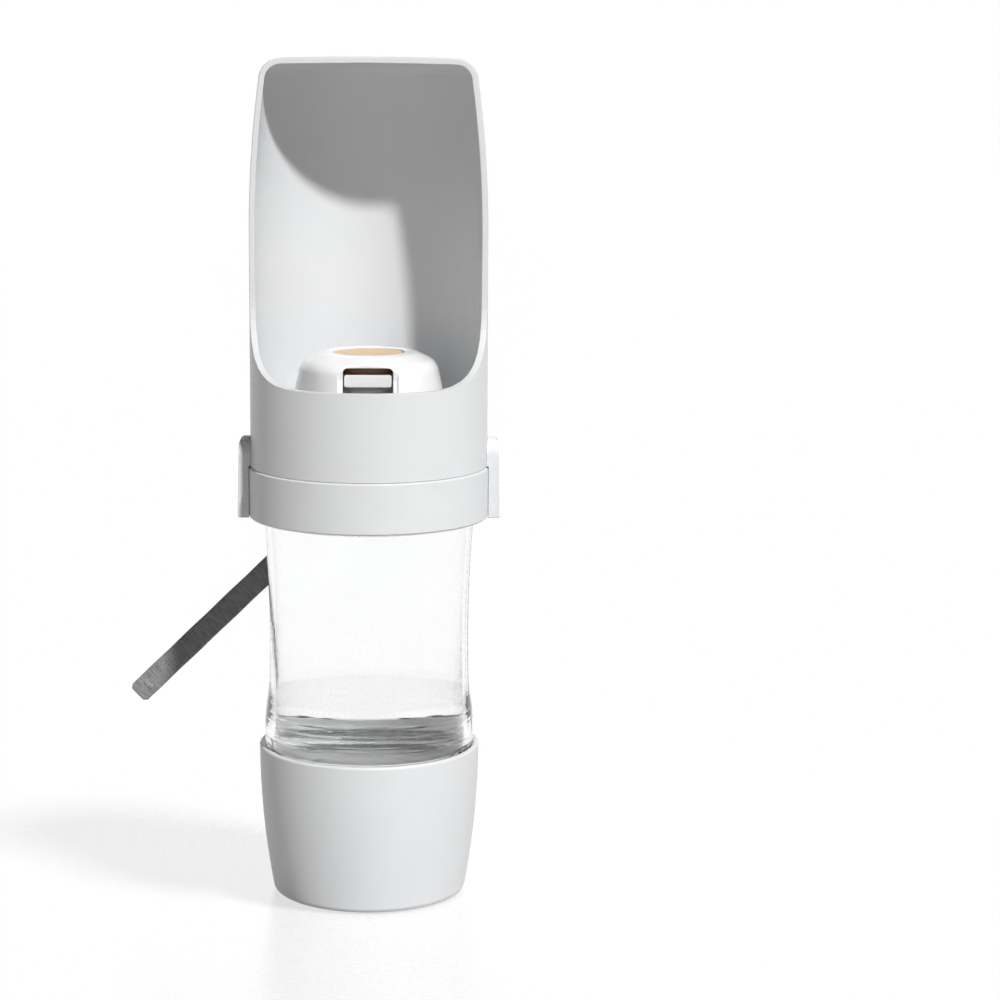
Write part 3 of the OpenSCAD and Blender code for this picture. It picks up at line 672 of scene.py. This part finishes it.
STRAP_PIVOT = [mm(c) for c in JOINTS["strap_swing"]["pos_m"]]
RIVET = Vector((STRAP_PIVOT[0], 0.0, STRAP_PIVOT[2]))
ALONG = Vector((-math.cos(STRAP_ANGLE), 0.0, -math.sin(STRAP_ANGLE)))
ACROSS = Vector((-math.sin(STRAP_ANGLE), 0.0, math.cos(STRAP_ANGLE)))
STRAP_REACH = [(v.co / MM - RIVET).dot(ALONG) for v in NODES["wrist_strap"].data.vertices]
STRAP_L = round(max(STRAP_REACH), 3)
STRAP_HALF = round(-min(STRAP_REACH), 3)
STRAP_T = mm(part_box("wrist_strap")[1][1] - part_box("wrist_strap")[0][1])
# What is cut off the corners of its tip, and the hole for the rivet
STRAP_CLIP = 1.1
HOLE_R = 1.75
# A ply's thickness, and the depth of each ply's middle and of its outer face at the ends
PLY = 1.02
FACE = 0.52
FRONT_Y = STRAP_PIVOT[1] - STRAP_T / 4.0
BACK_Y = STRAP_PIVOT[1] + STRAP_T / 4.0
FRONT_FACE = FRONT_Y - FACE
BACK_FACE = BACK_Y + FACE
# Spacing of the weft rows along the strap and of the warp ends across it, the height of the ends
# and of the ribs, and how deep the weave sits in a ply's thickness
WEFT = 0.86
WARP = 0.74
END_HEIGHT = 0.065
RIB_HEIGHT = 0.035
WEAVE_SUNK = 0.08
# At a ply's edges: how much it is drawn in, how much thinner it is and how much flatter its weave
DRAWN_IN = 0.012
THINNER = 0.55
FLATTER = 0.7
# Between these places the back ply stands off the front one, by this much in the middle
LOOSE_FROM = 15.0
LOOSE_TO = 103.0
LOOSE_BOW = 0.55


def strap_point(u, v, y):
    p = RIVET + ALONG * u + ACROSS * v
    return (p.x * MM, y * MM, p.z * MM)


def weave(u, v):
    """Height of the woven face: rows of weft across the strap, warp ends bricked along it."""
    column = math.floor(v / WARP)
    shift = 0.5 * (column % 2)
    over = abs(math.sin(math.pi * (u / WEFT + shift)))
    ridge = abs(math.cos(math.pi * (v / WARP - column - 0.5)))
    rib = 0.5 + 0.5 * math.cos(2.0 * math.pi * u / WEFT)
    return END_HEIGHT * (over ** 0.7) * (0.35 + 0.65 * ridge ** 0.6) + RIB_HEIGHT * rib


def ply_middle(u, side):
    """Where a ply's middle lies in depth: sewn together at both ends, loose between."""
    if side == 0:
        return FRONT_Y + 0.02 * math.sin(0.9 * u)
    share = min(1.0, max(0.0, (u - LOOSE_FROM) / (LOOSE_TO - LOOSE_FROM)))
    return BACK_Y + LOOSE_BOW * math.sin(math.pi * share) ** 1.3


def ply_halves(u):
    """(half the width, half the gap that the rivet's hole leaves) of a ply at u."""
    wide = math.sqrt(max(0.0, STRAP_HALF ** 2 - u ** 2)) if u < 0 else STRAP_HALF
    wide = min(wide, STRAP_HALF - max(0.0, u - (STRAP_L - STRAP_CLIP)))
    gap = math.sqrt(HOLE_R ** 2 - u ** 2) if abs(u) < HOLE_R else 0.0
    return wide, gap


def strap_ply(name, side, columns=22):
    """One ply as a closed solid: two woven faces, joined along the edges and round the hole."""
    rows = int((STRAP_L + STRAP_HALF) / (WEFT / 6.0))
    start = 0.02 - STRAP_HALF
    us = [start + (STRAP_L - start) * i / rows for i in range(rows + 1)]
    halves = [ply_halves(u) for u in us]
    verts, faces = [], []
    for face_side in (-1, 1):
        for u, (wide, gap) in zip(us, halves):
            for k in range(columns):
                share = (k + 0.5) / columns * 2.0 - 1.0
                share = share / (1.0 - 1.0 / columns)
                v = math.copysign(gap + abs(share) * (wide - gap), share)
                drawn = v * (1.0 - DRAWN_IN * (1.0 + math.sin(u * 0.33 + side)))
                edge = min(1.0, abs(v) / max(wide, 0.01))
                thick = PLY / 2.0 * (1.0 - THINNER * edge ** 10)
                bulge = weave(u, v) * (1.0 - FLATTER * edge ** 12)
                y = ply_middle(u, side) + face_side * (thick - WEAVE_SUNK + bulge)
                verts.append(strap_point(u, drawn, y))
    total = (rows + 1) * columns
    mid = columns // 2 - 1
    runs = {}
    for i in range(rows):
        open_here = halves[i][1] > 0 and halves[i + 1][1] > 0
        for k in range(columns - 1):
            if k == mid and open_here:
                continue
            a = i * columns + k
            quad = (a, a + 1, a + 1 + columns, a + columns)
            faces.append(quad)
            for p, q in zip(quad, quad[1:] + quad[:1]):
                runs.setdefault(frozenset((p, q)), []).append((p, q))
    border = [pair[0] for pair in runs.values() if len(pair) == 1]
    faces += [tuple(total + p for p in reversed(f)) for f in faces]
    faces += [(q, p, p + total, q + total) for p, q in border]
    return mesh_object(name, verts, faces, M_WEB)


finish_piece(strap_ply("strap_front_ply", 0), "strap", "webbing", "wrist_strap")
finish_piece(strap_ply("strap_back_ply", 1), "strap", "webbing")


def round_thread(name, points, radius, sides=5):
    """A round thread along points in millimetres."""
    verts = []
    last = len(points) - 1
    for i, p in enumerate(points):
        ahead = Vector(points[min(last, i + 1)]) - Vector(points[max(0, i - 1)])
        ahead.normalize()
        side = ahead.cross(Vector((0.0, 1.0, 0.0)))
        if side.length < 1e-6:
            side = ahead.cross(Vector((1.0, 0.0, 0.0)))
        side.normalize()
        up = side.cross(ahead)
        for k in range(sides):
            a = 2.0 * math.pi * k / sides
            q = Vector(p) + (side * math.cos(a) + up * math.sin(a)) * radius
            verts.append(tuple(q * MM))
    return mesh_object(name, verts, bar_faces(len(points), sides), M_THREAD)


def bar_tack(name, face_y, outward, at_u, length_v, depth_u, stitch=0.26, lift=0.10):
    """Satin-stitched block across the strap: one thread laid in close zigzags."""
    points = []
    passes = int(length_v / stitch)
    for i in range(passes + 1):
        v = -length_v / 2.0 + length_v * i / passes
        for step in range(5):
            t = step / 4.0
            u = at_u + depth_u * ((t - 0.5) if i % 2 == 0 else (0.5 - t))
            p = RIVET + ALONG * u + ACROSS * (v + stitch * t * 0.5)
            points.append((p.x, face_y + outward * lift * math.sin(math.pi * t), p.z))
    finish_piece(round_thread(name, points, stitch / 2.0), "strap", "webbing")


def eyelet(name, face_y, outward, ring_r=2.35, roll_r=0.72, proud=0.09, roll_depth=0.12):
    """Rolled steel eyelet ring round the strap's hole."""
    rings, sides = 48, 10
    verts, faces = [], []
    for i in range(rings):
        a = 2.0 * math.pi * i / rings
        for k in range(sides):
            b = 2.0 * math.pi * k / sides
            r = ring_r + roll_r * math.cos(b)
            y = face_y + outward * (proud + roll_depth * math.sin(b))
            verts.append((r * math.cos(a) * MM, y * MM, (RIVET.z + r * math.sin(a)) * MM))
    for i in range(rings):
        j = (i + 1) % rings
        for k in range(sides):
            m = (k + 1) % sides
            faces.append((i * sides + k, i * sides + m, j * sides + m, j * sides + k))
    finish_piece(mesh_object(name, verts, faces, M_STEEL_Y), "strap", "steel")


STRAP_FACES = (("front", FRONT_FACE, -1.0), ("back", BACK_FACE, 1.0))
for where, strap_y, outward in STRAP_FACES:
    bar_tack("tip_tack_" + where, strap_y, outward, at_u=STRAP_L - 5.4, length_v=3.4, depth_u=1.7)
for where, strap_y, outward in STRAP_FACES:
    bar_tack("root_tack_" + where, strap_y, outward, at_u=9.5, length_v=6.0, depth_u=1.8)
for where, strap_y, outward in STRAP_FACES:
    eyelet("eyelet_" + where, strap_y, outward)


# Floor

# Half its width, and how far it lies under the object, in metres
FLOOR_HALF = 80.0
FLOOR_DROP = 0.00025


def make_floor():
    """Wide pale floor: plain white to the eye, with the object's shadow and a faint reflection."""
    corners = ((-1.0, -1.0), (1.0, -1.0), (1.0, 1.0), (-1.0, 1.0))
    verts = [(x * FLOOR_HALF, y * FLOOR_HALF, -FLOOR_DROP) for x, y in corners]
    g = Graph(bpy.data.materials.new("floor_white"))
    spread = g.new("ShaderNodeAddShader")
    g.link(g.shader("BsdfDiffuse", Color=(0.42, 0.417, 0.413, 1.0)), spread.inputs[0])
    g.link(g.shader("Emission", Strength=0.24), spread.inputs[1])
    shaded = g.shader("BsdfDiffuse", Color=(0.90, 0.90, 0.90, 1.0))
    white = g.mix(0.71, shaded, g.shader("Emission", Strength=1.11))
    rough = g.ranged(g.noise(320.0, 3.0, 0.5), 0.22, 0.30, 0.3, 0.7)
    gloss = g.shader("BsdfGlossy", Color=(1.0, 1.0, 1.0, 1.0), Roughness=rough)
    seen = g.mix(0.18, white, gloss)
    g.show(g.mix(g.looked_at(), spread.outputs["Shader"], seen))
    floor = mesh_object("floor", verts, [(0, 1, 2, 3)], g.owner, False)
    return floor


# World

# Strength of the studio's soft fill from the front and from behind
FILL_FRONT = 0.065
FILL_BACK = 0.22
# Y of the direction where the front's strength ends, and where the back's starts
FRONT_ENDS = -0.3
BACK_STARTS = 0.7


def make_world():
    """White where it is seen, mirrored or looked at through the bottle, and a soft grey fill."""
    world = bpy.data.worlds.new("studio")
    g = Graph(world, "ShaderNodeOutputWorld")
    depth = g.axis("Y", g.places["Generated"])
    strength = g.ranged(depth, FILL_FRONT, FILL_BACK, FRONT_ENDS, BACK_STARTS)
    fill = g.shader("Background", Color=(1.0, 0.99, 0.975, 1.0), Strength=strength)
    white = g.shader("Background", Color=(1.0, 1.0, 1.0, 1.0), Strength=1.0)
    g.show(g.mix(g.looked_at(), fill, white))
    scene.world = world


# Lamps

def make_sun(name, height_deg, side_deg, energy, angle_deg):
    """A far lamp, so many degrees up and so many to the right of the photograph's front."""
    height, side = math.radians(height_deg), math.radians(side_deg - FACING)
    data = bpy.data.lights.new(name, "SUN")
    data.energy = energy
    data.angle = math.radians(angle_deg)
    lamp = bpy.data.objects.new(name, data)
    scene.collection.objects.link(lamp)
    level = math.cos(height)
    towards = Vector((math.sin(side) * level, -math.cos(side) * level, math.sin(height)))
    lamp.rotation_mode = "QUATERNION"
    lamp.rotation_quaternion = (-towards).to_track_quat("-Z", "Y")
    lamp.location = towards * 2.0
    return lamp


def light_only(lamp, obj, wanted):
    """Lets a lamp light just one object, or everything but that object."""
    group = bpy.data.collections.new(lamp.name + "_link")
    group.objects.link(obj)
    group.collection_objects[0].light_linking.link_state = "INCLUDE" if wanted else "EXCLUDE"
    lamp.light_linking.receiver_collection = group


floor_object = make_floor()
make_world()
# The photograph's shadow on the floor falls in another direction than the shadows on the object,
# so one lamp lights the object alone and the other the floor alone
key = make_sun("key", height_deg=44.5, side_deg=32.0, energy=3.58, angle_deg=3.5)
floor_lamp = make_sun("floor_lamp", height_deg=65.5, side_deg=60.0, energy=2.4, angle_deg=9.0)
light_only(key, floor_object, False)
light_only(floor_lamp, floor_object, True)

scene.view_settings.view_transform = "Standard"
